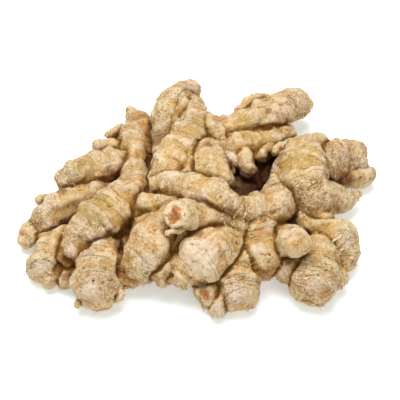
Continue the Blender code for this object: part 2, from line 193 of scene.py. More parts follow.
# Fingers below the ones that show, which carry them
UNDERSIDE = {
    "left_keel": [(-40, 2, 16, 12), (-38, -22, 13, 12), (-34, -36, 12, 10)],
    "middle_keel": [(-40, -6, 15, 12), (-22, -4, 16, 14), (-6, -12, 16, 14), (8, -26, 14, 13)],
    "front_keel": [(8, -26, 16, 13), (-6, -38, 14, 12), (-14, -46, 11, 9)],
    "right_keel": [(8, -26, 16, 13), (28, -18, 13, 13), (46, -10, 14, 14), (62, 4, 15, 13)],
    "pit_floor": [(18, -14, 13, 12), (26, 6, 11, 11), (33, 20, 10, 10), (36, 36, 13, 9)],
    "back_keel": [(-27, 2, 14, 12), (-25, 22, 12, 11), (-14, 40, 13, 11), (-6, 58, 14, 9)],
    "right_foot": [(46, -8, 13, 12), (50, -24, 11, 10), (48, -36, 9, 7)],
    "far_keel": [(60, 0, 15, 12), (54, 18, 15, 13), (62, 34, 15, 10)],
    "back_foot": [(-6, 34, 16, 12), (14, 42, 13, 11), (34, 50, 10, 8)],
    "stem_gap": [(-30, 52, 12, 7), (-32, 31, 12, 7), (-30, 10, 12, 8)],
    "neck_gap": [(-38, -14, 18, 10), (-42, -28, 16, 9), (-42, -38, 14, 8), (-42, -46, 11, 7)],
    "side_gap": [(-90, -26, 8, 6), (-83, -30, 8, 7), (-76, -33, 8, 8)],
    "left_gap": [(-83, -40, 7, 6), (-77, -43, 7, 6), (-70, -43, 8, 7)],
    "front_gap": [(-19, -39, 14, 8), (-23, -47, 10, 7), (-24, -51, 8, 5.5)],
    "pit_side": [(13, 13, 13, 8), (21, 27, 11, 8), (31, 38, 12, 7)],
    "far_pit": [(41, 22, 12, 8), (46, 33, 12, 8)],
    "knob_gap": [(36, -42, 13, 9), (42, -44, 9, 7), (49, -44, 9, 7)],
}
HANDS = {
    "left": LEFT_HAND, "middle": MIDDLE, "right": RIGHT_HAND, "back": BACK_HAND,
    "underside": UNDERSIDE,
}

fingers = [(name, places) for hand in HANDS.values() for name, places in hand.items()]


def unit(ways):
    """The same directions, each one long, and none for a direction of no length."""
    return ways / np.maximum(np.linalg.norm(ways, axis=-1, keepdims=True), 1e-9)


def closing_dome(last, way, depth):
    """The rings past a finger's last place, where it closes."""
    turns = np.radians(DOME_TURNS)
    reach = last[3] * np.sin(turns) ** (2 / BLUNTNESS) * depth
    return np.column_stack([last[:3] + way * reach[:, None], last[3] * np.cos(turns) ** (2 / BLUNTNESS)])


def join_rings(mesh, rings):
    """Faces from each ring of points to the next one, and over both ends."""
    for ring, following in zip(rings, rings[1:]):
        for i in range(len(ring)):
            j = (i + 1) % len(ring)
            mesh.faces.new((ring[i], ring[j], following[j], following[i]))
    mesh.faces.new(reversed(rings[0]))
    mesh.faces.new(rings[-1])


class Finger:
    """The middle line of one finger, its girth along it and the directions across it."""

    def __init__(self, number, name, places):
        self.phase = PHASE_STEP * number
        places = np.array(places, dtype=float) - [*BODY_MIDDLE, 0, 0]
        knots = np.vstack([2 * places[0] - places[1], places, 2 * places[-1] - places[-2]])
        rows = []
        for a, b, c, d in zip(knots, knots[1:], knots[2:], knots[3:]):
            count = max(2, round(np.linalg.norm(c[:3] - b[:3]) / RING_STEP))
            t = np.arange(count)[:, None] / count
            rows.append(0.5 * (
                2 * b + (c - a) * t + (2 * a - 5 * b + 4 * c - d) * t**2 + (3 * b - a - 3 * c + d) * t**3
            ))
        rows = np.vstack([*rows, places[-1]])

        start = closing_dome(rows[0], unit(rows[0, :3] - rows[1, :3]), DOME_DEPTH)
        depth = CUT_DEPTH if name in CUT_FINGERS else DOME_DEPTH
        end = closing_dome(rows[-1], unit(rows[-1, :3] - rows[-2, :3]), depth)
        rows = np.vstack([start[::-1], rows, end])
        self.middle = rows[:, :3]
        self.along = np.concatenate([[0], np.cumsum(np.linalg.norm(np.diff(self.middle, axis=0), axis=1))])
        swelling = 1 + SWELLING * np.cos(2 * math.pi * self.along / SWELLING_SPACING + self.phase)
        self.radius = rows[:, 3]
        self.girth = rows[:, 3] * swelling
        self.ahead = unit(np.gradient(self.middle, axis=0))
        side = np.array(FIRST_SIDE)
        sides = []
        for way in self.ahead:
            side = unit(side - way * (side @ way))
            sides.append(side)
        self.side = np.array(sides)
        self.other = np.cross(self.ahead, self.side)

    def add_tube(self, mesh):
        turns = 2 * math.pi * np.arange(SIDES) / SIDES
        reach = 1 + OVAL * np.cos(2 * turns + self.phase)
        rings = []
        for centre, side, other, radius in zip(self.middle, self.side, self.other, self.girth):
            around = np.outer(np.cos(turns), side) + np.outer(np.sin(turns), other)
            around *= (radius * reach)[:, None]
            rings.append([mesh.verts.new(place) for place in (centre + around) * MM])
        join_rings(mesh, rings)


def add_object(name, mesh):
    thing = bpy.data.objects.new(name, mesh)
    bpy.context.scene.collection.objects.link(thing)
    return thing


def apply_modifier(thing, kind, **settings):
    modifier = thing.modifiers.new(kind.lower(), kind)
    for key, value in settings.items():
        setattr(modifier, key, value)
    bpy.context.view_layer.objects.active = thing
    bpy.ops.object.modifier_apply(modifier=modifier.name)


MELT_SIZE = 1.13  # mm, the cell of the grid that melts the tubes together
SOFTENING = 1  # passes that take the grid's steps off the skin
SOFTENING_SHARE = 0.5

hands = [Finger(number, name, places) for number, (name, places) in enumerate(fingers)]
tubes = bmesh.new()
for finger in hands:
    finger.add_tube(tubes)
bmesh.ops.recalc_face_normals(tubes, faces=tubes.faces)
skin_mesh = bpy.data.meshes.new("ginger_skin")
tubes.to_mesh(skin_mesh)
tubes.free()
skin = add_object("ginger_skin", skin_mesh)
apply_modifier(skin, "REMESH", mode="VOXEL", voxel_size=MELT_SIZE * MM)
apply_modifier(skin, "SMOOTH", factor=SOFTENING_SHARE, iterations=SOFTENING)


def points_of(mesh):
    points = np.empty(len(mesh.vertices) * 3, np.float32)
    mesh.vertices.foreach_get("co", points)
    return points.reshape(-1, 3).astype(float) / MM


def normals_of(mesh):
    normals = np.empty(len(mesh.vertices) * 3, np.float32)
    mesh.vertices.foreach_get("normal", normals)
    return normals.reshape(-1, 3).astype(float)


def noise_over(points, length, shift=0.0):
    """Smooth noise from -1 to 1 at points in millimetres, with lumps of that length."""
    return np.array([noise.noise(place) for place in (points / length + shift).tolist()])


def layered_noise(points, layers):
    """The sum of several noises, each given by its length, height and shift."""
    return sum(noise_over(points, length, shift) * height for length, height, shift in layers)


LOOK_ROUND = 6.0  # mm from a finger within which a point of the skin may belong to it
RING_SPACING = (4.6, 7.6)  # mm, least and most between two leaf rings of a finger

rng = np.random.default_rng(11)
ring_spacings = rng.uniform(*RING_SPACING, len(hands))


def growth_at(points):
    """Which finger each point of the skin belongs to, and where it lies on it."""
    count = len(points)
    grown = {name: np.zeros((count, 3)) for name in ("way", "next_way", "grain", "ahead")}
    grown |= {name: np.full(count, np.inf) for name in ("depth", "next_depth")}
    grown |= {"to_end": np.zeros(count), "spacing": np.ones(count), "girth": np.ones(count)}
    for finger, spacing in zip(hands, ring_spacings):
        low = (finger.middle - finger.radius[:, None]).min(axis=0) - LOOK_ROUND
        high = (finger.middle + finger.radius[:, None]).max(axis=0) + LOOK_ROUND
        near = np.flatnonzero(((points > low) & (points < high)).all(axis=1))
        gaps = points[near, None, :] - finger.middle[None, :, :]
        depths = np.linalg.norm(gaps, axis=2) - finger.radius
        best = depths.argmin(axis=1)
        row = np.arange(len(near))
        depth = depths[row, best]
        gap = gaps[row, best]
        way = unit(gap)
        across = [(gap * sides[best]).sum(axis=1) for sides in (finger.side, finger.other)]
        along = finger.along[best] + (gap * finger.ahead[best]).sum(axis=1)
        grain = np.column_stack([*across, along])
        closer = depth < grown["depth"][near]
        first = near[closer]
        for mine, old in (("next_way", "way"), ("next_depth", "depth")):
            grown[mine][first] = grown[old][first]
        grown["depth"][first] = depth[closer]
        grown["way"][first] = way[closer]
        grown["grain"][first] = grain[closer]
        grown["to_end"][first] = finger.along[-1] - along[closer]
        grown["ahead"][first] = finger.ahead[best[closer]]
        grown["spacing"][first] = spacing
        grown["girth"][first] = finger.radius[best[closer]]
        between = ~closer & (depth < grown["next_depth"][near])
        grown["next_way"][near[between]] = way[between]
        grown["next_depth"][near[between]] = depth[between]
    return grown


LUMPS = ((9.0, 1.5, 0.0), (5.5, 0.9, 13.0))  # layers of noise for the lumps that the solid has too
CREASE_DEPTH = 1.9  # where two fingers meet
CREASE_WIDTH = 1.5
LEAST_TURN = 0.08  # of the skin, 0 for none and 2 for facing, that gives a crease
TURN_GAIN = 2.5  # how fast a crease deepens with the turn
JOINT_WIDTH = 2.5  # of the joint of two fingers, which no ring, wrinkle or root scar crosses

points = points_of(skin_mesh)
normals = normals_of(skin_mesh)
growth = growth_at(points)
grain = growth["grain"]
apart = growth["next_depth"] - growth["depth"]
turned = 1 - (growth["way"] * growth["next_way"]).sum(axis=1)
crease = np.exp(-((apart / CREASE_WIDTH) ** 2))
crease *= np.clip(turned * TURN_GAIN - LEAST_TURN * TURN_GAIN, 0, 1)
own = np.clip(apart / JOINT_WIDTH, 0, 1)  # 0 in a joint and 1 away from it

# Leaf rings, where each old leaf was joined, lie round every finger in steps like stacked cups.
RING_STEP_HEIGHT = 0.2
RING_GROOVE_DEPTH = 0.2
RING_GROOVE_WIDTH = 0.7
RING_STEP_WIDTH = 0.8  # over which a step rises
RING_UNEVENNESS = 0.22  # of the spacing, by which rings stand closer or further apart
RING_WANDER = ((12.0, 2.4, 3.1), (4.5, 0.7, 8.7))  # layers of noise that bend the rings
RING_STRENGTH = (0.05, 1.3)  # least and most, as rings are faint here and plain there
ring = (grain[:, 2] + layered_noise(points, RING_WANDER)) / growth["spacing"]
ring += RING_UNEVENNESS * np.sin(2.3 * ring + growth["spacing"] * 9)
ring_part = ring - np.floor(ring)
ring_gap = np.abs(ring - np.round(ring)) * growth["spacing"]
ring_strength = own * np.clip(0.55 + noise_over(points, 13.0, 21.0) * 1.6, *RING_STRENGTH)
ring_rise = RING_STEP_HEIGHT * (ring_part - 0.5) * np.clip(ring_gap / RING_STEP_WIDTH, 0, 1)
ring_rise -= RING_GROOVE_DEPTH * np.exp(-((ring_gap / RING_GROOVE_WIDTH) ** 2))

# Drying wrinkles run along each finger, finer ones across it.
WRINKLE_HEIGHT = 0.5
CROSS_WRINKLE_HEIGHT = 0.28
KNOBS = ((3.0, 0.45, 17.0), (1.6, 0.32, 19.0))  # and for smaller ones
wrinkles = noise_over(grain * [1, 1, 0.16], 2.6, 5.0) * WRINKLE_HEIGHT * own
cross_wrinkles = noise_over(grain * [0.25, 0.25, 1], 1.7, 9.0) * CROSS_WRINKLE_HEIGHT * own

rise = -crease * CREASE_DEPTH
for length, height, shift in LUMPS:
    rise += noise_over(points, length, shift) * height
rise += ring_rise * ring_strength + wrinkles + cross_wrinkles + layered_noise(points, KNOBS)
points = points + normals * rise[:, None]


def show_points(mesh, points):
    """Gives a mesh these points, each held inside the solid's box, which cuts the resting spots flat."""
    low, high = (np.array(corner) / MM for corner in cad_box)
    mesh.vertices.foreach_set("co", (np.clip(points, low, high) * MM).astype(np.float32).ravel())
    mesh.update()


show_points(skin_mesh, points)

# The camera, which also finds the places of the skin that the marks below name by their pixel.
PHOTO_SIZE = 400
CAMERA_TARGET = Vector((-BODY_MIDDLE[0], -BODY_MIDDLE[1], 14)) * MM
CAMERA_ELEVATION = math.radians(48)
CAMERA_DISTANCE = 1.0
CAMERA_LENS = 150.0
CAMERA_SENSOR = 36.0
camera_back = Vector((0, -math.cos(CAMERA_ELEVATION), math.sin(CAMERA_ELEVATION)))
camera_up = Vector((0, math.sin(CAMERA_ELEVATION), math.cos(CAMERA_ELEVATION)))
camera_place = CAMERA_TARGET + camera_back * CAMERA_DISTANCE


def surface_tree(mesh):
    """The mesh as it is now, laid out so that a ray finds what it meets."""
    return BVHTree.FromPolygons([v.co for v in mesh.vertices], [p.vertices for p in mesh.polygons])


skin_tree = surface_tree(skin_mesh)


def seen_at(pixel):
    """The place of the skin that the camera sees at a pixel of the photo, or None past the rhizome."""
    spread = CAMERA_SENSOR / CAMERA_LENS / PHOTO_SIZE
    across = (pixel[0] - PHOTO_SIZE / 2) * spread
    upward = (PHOTO_SIZE / 2 - pixel[1]) * spread
    way = (Vector((across, 0, 0)) + camera_up * upward - camera_back).normalized()
    return skin_tree.ray_cast(camera_place, way)[0]


def point_tree(points):
    tree = kdtree.KDTree(len(points))
    for number, place in enumerate(points):
        tree.insert(place, number)
    tree.balance()
    return tree


# Marks of the skin by where the photo shows them: pixels across and down, and the mark's radius in mm.
# Rusty patches come first, then painted shadow with a few dry dark spots, pale worn skin with painted
# highlights, olive skin and the painted shade of the pit.
RUST_MARKS = {
    "top_tip": (137, 116, 9), "top_tip_low": (143, 124, 6), "side_joint": (65, 234, 4),
    "knob_joint": (82, 247, 4), "neck_left": (128, 258, 4), "stub_face": (203, 296, 6),
    "cut_face": (174, 214, 5), "torn_rim": (183, 82, 4), "torn_side": (199, 86, 3),
    "right_knob": (347, 178, 7), "red_stub": (265, 272, 6), "front_flank": (262, 233, 6),
    "side_bud_root": (207, 138, 5), "left_end": (22, 232, 4), "pit_bud": (250, 176, 4),
    "long_finger": (262, 112, 4), "low_knob": (325, 292, 5), "viewer_knob": (295, 244, 3),
}
# Painted shadow under and beside fingers and in clefts, and a few dry dark spots
PAINTED_SHADE_AND_DRY_MARKS = {
    "under_thick_back": (109, 180, 9), "beside_stem": (158, 140, 7), "under_pit_bud": (281, 155, 4),
    "arm_end": (230, 214, 6), "lobe_under": (345, 180, 7), "under_side_bud": (208, 145, 4),
    "hook": (127, 110, 2), "low_cleft": (338, 262, 4), "stub_pair": (66, 277, 4),
    "over_toe": (281, 105, 3), "over_toe_middle": (268, 110, 3), "dry_corner": (61, 191, 4),
    "beside_palm": (151, 150, 5),
}
# Pale worn skin, and painted highlights on the fronts of knobs and fingers
PALE_AND_HIGHLIGHT_MARKS = {
    "wide_front": (200, 256, 16), "torn_patch": (192, 91, 7), "highlight": (258, 250, 6),
    "stem": (175, 172, 6), "front_finger": (236, 296, 10), "hand_joint": (122, 166, 6),
    "body_left": (95, 240, 8), "bud": (230, 158, 4), "cut_rim": (174, 214, 9),
    "tip_left": (171, 230, 3), "right_flake": (275, 166, 5), "arm": (200, 200, 8),
    "lobe_tip": (365, 165, 6), "front_knob": (90, 290, 8), "left_front": (40, 268, 6),
    "front_left": (150, 260, 6), "low_knob": (315, 286, 8), "right_side": (348, 240, 7),
    "long_tip": (303, 103, 5), "left_side": (45, 204, 6), "palm_tip": (70, 250, 5),
    "low_toe": (283, 272, 5), "low_front_toe": (217, 310, 6), "finger_toe": (285, 114, 5),
    "finger_toe_middle": (273, 118, 4), "viewer_knob": (291, 234, 6),
}
OLIVE_MARKS = {
    "hand_neck": (133, 215, 16), "olive_lobe": (150, 212, 9), "stem_top": (200, 125, 12),
    "second_branch": (205, 165, 10), "body_left": (95, 205, 14), "right_body": (295, 160, 14),
    "long_finger": (245, 125, 9), "second_finger": (255, 143, 9), "viewer_knob": (293, 240, 11),
    "yellow_eye": (128, 258, 5), "right_neck": (318, 222, 9), "thick_back": (85, 168, 10),
}
# Painted shade deep in the pit
PIT_SHADE_MARKS = {
    "pit_shade": (254, 186, 11), "pit_left": (238, 190, 7), "pit_right": (265, 178, 8),
}
# Faces where a finger was cut or broken off.
SCAR_MARKS = {"cut_face": (174, 214, 8), "stub_face": (203, 296, 7)}
# Rough and scaly skin, and then smooth skin.
ROUGH_MARKS = {
    "body_left": (88, 235, 12), "thick_back": (70, 172, 9), "front_knob": (97, 285, 11),
    "lobe_left": (160, 122, 8), "long_tip": (300, 105, 10), "right_low": (308, 202, 13),
    "low_knob": (316, 282, 13), "right_side": (348, 245, 9), "front_left": (150, 272, 9),
    "far_body": (340, 160, 11), "low_front": (240, 292, 9), "arm_end": (234, 214, 9),
    "left_end": (45, 215, 9), "left_front": (45, 268, 8), "back_end": (288, 135, 7),
    "top_edge": (190, 90, 7),
}
SMOOTH_MARKS = {
    "hand": (135, 150, 10), "stem": (178, 150, 11), "arm": (196, 190, 9),
    "second_branch": (210, 162, 9), "inner_left": (150, 212, 9), "wide_front": (198, 257, 15),
    "viewer_knob": (293, 241, 11), "right_top": (303, 156, 13), "right_neck": (320, 224, 9),
    "long_root": (236, 124, 9), "palm": (116, 205, 11), "front_neck": (160, 238, 8),
    "second_finger": (250, 145, 9), "left_tip": (28, 240, 8), "pale_stub": (258, 246, 8),
    "palm_neck": (108, 250, 7),
}
# Open cracks of the skin, each a row of pixels.
CRACKS = {
    "stem_long": [(165, 152), (172, 156), (180, 163)],
    "stem_cross": [(167, 169), (175, 171), (183, 167), (188, 170)],
    "front_top": [(188, 243), (196, 245), (203, 250)],
    "front_middle": [(205, 249), (210, 253), (214, 258)], "front_right": [(219, 246), (225, 251)],
    "front_low": [(192, 261), (200, 264), (208, 272)],
    "front_edge": [(183, 272), (191, 278), (200, 285)],
    "finger_hook": [(227, 279), (235, 274), (244, 277)],
    "finger_side": [(219, 290), (216, 299), (208, 307)],
    "right_body": [(285, 205), (290, 212), (297, 223)], "saddle": [(262, 215), (275, 213)],
    "saddle_low": [(240, 230), (258, 229), (277, 226)],
    "low_knob": [(298, 270), (293, 281), (286, 290)],
    "left_end": [(27, 226), (34, 223), (41, 223), (46, 227)], "knob_cleft": [(105, 297), (108, 303)],
    "hand_ring": [(122, 128), (129, 126), (139, 128)], "right_slit": [(324, 146), (324, 155)],
    "low_cleft": [(334, 256), (339, 263), (344, 271)],
    "knob_foot": [(175, 252), (167, 260), (160, 270)],
}
# Dark eyes, where a bud or a root was.
EYES = {
    "front_knob": (93, 281, 2.6), "hand": (107, 163, 1.8), "hand_back": (115, 157, 1.6),
    "arm_end": (223, 182, 3.0), "right_body": (283, 189, 2.4), "neck": (136, 263, 2.2),
    "neck_low": (147, 273, 2.0), "stem": (182, 97, 1.6), "right_low": (231, 284, 2.6),
    "left_front": (36, 262, 2.0), "knob_right": (115, 297, 2.4), "right_edge": (345, 142, 2.2),
}

MARK_SPREAD = 1.3  # of a mark's radius, where it has faded to nothing
tree = point_tree(points)
count = len(points)


def marked(marks, spread=MARK_SPREAD):
    """A value for each point of the skin: 1 in the middle of a mark, and softly down to 0 round it."""
    values = np.zeros(count)
    for across, down, radius in marks.values():
        place = seen_at((across, down))
        if place:
            reach = radius * spread
            for _, index, gap in tree.find_range(place / MM, reach):
                values[index] = max(values[index], (1 - (gap / reach) ** 2) ** 1.5)
    return values


rust = marked(RUST_MARKS)
shade = marked(PAINTED_SHADE_AND_DRY_MARKS)
pale_and_highlight = marked(PALE_AND_HIGHLIGHT_MARKS)
olive = marked(OLIVE_MARKS)
pit_shade = marked(PIT_SHADE_MARKS)
scar = marked(SCAR_MARKS)
rough = np.clip(0.5 + marked(ROUGH_MARKS) - marked(SMOOTH_MARKS), 0, 1)

# A crack wavers, and is deeper and shallower along its way.
CRACK_REACH = MELT_SIZE * 1.9  # from its middle to its edge, wide enough for the grid to show it whole
CRACK_DEPTH = 0.7
CRACK_STEPS = 3  # to a pixel
CRACK_WAVER = 1.8  # pixels
WAVER_LENGTH = 5
DEPTH_LENGTH = 4
crack = np.zeros(count)
for route in CRACKS.values():
    for start, end in zip(route, route[1:]):
        steps = max(2, math.ceil(math.dist(start, end) * CRACK_STEPS))
        for t in np.arange(steps + 1) / steps:
            pixel = np.array(start) + (np.array(end) - start) * t
            bend = noise.noise_vector((*pixel / WAVER_LENGTH, 0.5))
            depth = 0.8 + 0.4 * noise.noise((*pixel / DEPTH_LENGTH, 7.5))
            place = seen_at(pixel + [bend.x * CRACK_WAVER, bend.y * CRACK_WAVER])
            if place:
                for _, index, gap in tree.find_range(place / MM, CRACK_REACH):
                    crack[index] = max(crack[index], depth * (1 - gap / CRACK_REACH))

# Root scars all over, with a rim and a sunken middle, and the larger dark eyes.
ROOT_SCARS = 260
SCAR_SIZE = (0.9, 1.9)  # mm, least and most radius
SCAR_CHANGE = (0.8, 1.2)  # by which each one's size is changed once more
SCAR_RIM_HEIGHT = 0.4
SCAR_DIP = 0.6
CUT_DIP = 1.3  # how far a cut face has shrunk in behind its rim
LEAST_HEIGHT = 3  # mm above the table, below which a scar would not show
random.seed(5)
eye = np.zeros(count)
scar_rise = np.zeros(count)
places = [(seen_at((across, down)), radius) for across, down, radius in EYES.values()]
spots = [(Vector(place) / MM, radius) for place, radius in places if place]
while len(spots) < ROOT_SCARS + len(places):
    index = random.randrange(count)
    if points[index, 2] > LEAST_HEIGHT and own[index] > 0.9:
        spots.append((points[index], random.uniform(*SCAR_SIZE) * random.uniform(*SCAR_CHANGE)))
for place, radius in spots:
    for _, index, gap in tree.find_range(place, radius * 2):
        share = gap / radius
        rim = SCAR_RIM_HEIGHT * math.exp(-(((share - 1.05) / 0.4) ** 2))
        scar_rise[index] += rim - SCAR_DIP * math.exp(-((share / 0.55) ** 2))
        eye[index] = max(eye[index], math.exp(-((share / 0.75) ** 2)))

scar_rim = np.exp(-(((scar - 0.38) / 0.14) ** 2)) * (0.7 + noise_over(points, 2.2, 23.0) * 1.6)
points = points + normals * (scar_rise + scar_rim - crack * CRACK_DEPTH - scar * CUT_DIP)[:, None]
show_points(skin_mesh, points)

edges = np.empty(len(skin_mesh.edges) * 2, np.int32)
skin_mesh.edges.foreach_get("vertices", edges)
one, other = edges.reshape(-1, 2).T  # the two ends of every edge


def relaxed(values, passes):
    """Each value drawn towards its neighbours' mean that many times."""
    shares = np.bincount(edges.ravel(), minlength=count)
    for _ in range(passes):
        sums = np.column_stack([
            np.bincount(one, column[other], count) + np.bincount(other, column[one], count)
            for column in values.T
        ])
        values = 0.5 * values + 0.5 * sums / shares[:, None]
    return values


NEAR_PASSES = 8
FAR_PASSES = 60
normals = normals_of(skin_mesh)
near_mean = relaxed(points, NEAR_PASSES)
far_mean = relaxed(near_mean, FAR_PASSES)
hollow = ((near_mean - points) * normals).sum(axis=1)  # mm below the skin close round
sunk = ((far_mean - points) * normals).sum(axis=1)  # mm below the skin further round

# How open the skin is to the air round it: the share of rays that leave without meeting another finger.
RAYS = 10
RAY_LENGTH = 22.0  # mm
RAY_START = 0.4  # mm above the skin
RAY_SPREAD = 0.97  # under 1, so that no ray runs into the skin it starts from
OPENNESS_PASSES = 3
TIP_LENGTH = 1.2  # of a finger's radius
skin_tree = surface_tree(skin_mesh)
balls = unit(np.random.default_rng(3).normal(size=(RAYS, 3))) * RAY_SPREAD
open_share = np.zeros(count)
ray_starts = ((points + normals * RAY_START) * MM).tolist()
for ball in balls:
    rays = zip(ray_starts, unit(normals + ball).tolist())
    open_share += [skin_tree.ray_cast(start, way, RAY_LENGTH * MM)[0] is None for start, way in rays]
open_share = relaxed(open_share[:, None] / RAYS, OPENNESS_PASSES)[:, 0]
tip = np.clip(1 - growth["to_end"] / (growth["girth"] * TIP_LENGTH), 0, 1)  # 1 at a finger's end


def add_values(mesh, name, values):
    """Keeps one value, or three in columns, for each point of a mesh, where its finish can read them."""
    kind, field = ("FLOAT_VECTOR", "vector") if values.ndim == 2 else ("FLOAT", "value")
    mesh.attributes.new(name, kind, "POINT").data.foreach_set(field, values.astype(np.float32).ravel())


add_values(skin_mesh, "grain", grain)
add_values(skin_mesh, "ring", np.column_stack([ring, growth["spacing"], ring_strength]))
add_values(skin_mesh, "stain_and_highlight", np.column_stack([rust, pale_and_highlight, olive]))
add_values(skin_mesh, "dark", np.column_stack([shade, pit_shade, np.maximum(crack, eye * 0.8)]))
add_values(skin_mesh, "form", np.column_stack([hollow, sunk, tip]))
add_values(skin_mesh, "scar", np.column_stack([scar, open_share, rough]))


class Tone:
    """One value, colour or vector of a finish as it changes over the surface."""

    def __init__(self, tree, socket=None):
        self.tree = tree
        self.socket = socket

    def node(self, kind, settings=None, inputs=None, output=0):
        """Any node by its type, settings and inputs, as the value that one of its outputs gives."""
        made = self.tree.nodes.new(kind)
        for name, value in (settings or {}).items():
            setattr(made, name, value)
        for name, value in (inputs or {}).items():
            if isinstance(value, Tone):
                self.tree.links.new(value.socket, made.inputs[name])
            else:
                made.inputs[name].default_value = value
        return Tone(self.tree, made.outputs[output])

    def math(self, operation, *values):
        return self.node("ShaderNodeMath", {"operation": operation}, dict(enumerate(values)))

    def __add__(self, other):
        return self.math("ADD", self, other)

    def __sub__(self, other):
        return self.math("SUBTRACT", self, other)

    def __rsub__(self, other):
        return self.math("SUBTRACT", other, self)

    def __mul__(self, other):
        return self.math("MULTIPLY", self, other)

    __radd__ = __add__
    __rmul__ = __mul__

    def between(self, low, high):
        """0 below low, 1 above high and a smooth rise from one to the other."""
        return self.node("ShaderNodeMapRange", {"interpolation_type": "SMOOTHSTEP"},
                         {"Value": self, "From Min": low, "From Max": high})

    def blend(self, under, over):
        """The colour under where this is 0 and the colour over where it is 1."""
        return self.node("ShaderNodeMix", {"data_type": "RGBA"}, {0: self, 6: under, 7: over}, 2)

    def stretched(self, across, second, along):
        """A place scaled by its own number in each direction, so that a noise is drawn long or flat."""
        inputs = {0: self, 1: (across, second, along)}
        return self.node("ShaderNodeVectorMath", {"operation": "MULTIPLY"}, inputs)

    def noise(self, scale, detail=2.0, roughness=0.5):
        inputs = {"Vector": self, "Scale": scale, "Detail": detail, "Roughness": roughness}
        return self.node("ShaderNodeTexNoise", inputs=inputs)

    def shaken(self, scale, reach):
        """A place moved about a little, so that what is drawn by it is ragged."""
        wander = self.node("ShaderNodeTexNoise", inputs={"Vector": self, "Scale": scale}, output=1)
        wander = wander.node("ShaderNodeVectorMath", {"operation": "SCALE"}, {0: wander, "Scale": reach})
        return self.node("ShaderNodeVectorMath", {"operation": "ADD"}, {0: self, 1: wander})

    def dots(self, scale, smallest, largest):
        """Round spots of many sizes, one in a cell, and none in the cells whose chance is high."""
        near = self.node("ShaderNodeTexVoronoi", inputs={"Vector": self, "Scale": scale})
        chance = Tone(self.tree, near.socket.node.outputs[1]).parts()[0]
        return 1 - (near + chance * 0.5).between(smallest, largest)

    def kept(self, name):
        """The three values that each point of the mesh keeps under that name."""
        return self.node("ShaderNodeAttribute", {"attribute_name": name}, output=1)

    def parts(self):
        split = self.node("ShaderNodeSeparateXYZ", inputs={0: self})
        return [Tone(self.tree, socket) for socket in split.socket.node.outputs]


def tint(red, green, blue):
    """A colour from picture values of 0 to 255."""
    return (*((value / 255) ** 2.2 for value in (red, green, blue)), 1.0)


def new_material(name):
    """A material and its shader."""
    material = bpy.data.materials.new(name)
    material.use_nodes = True
    return material, material.node_tree.nodes["Principled BSDF"]


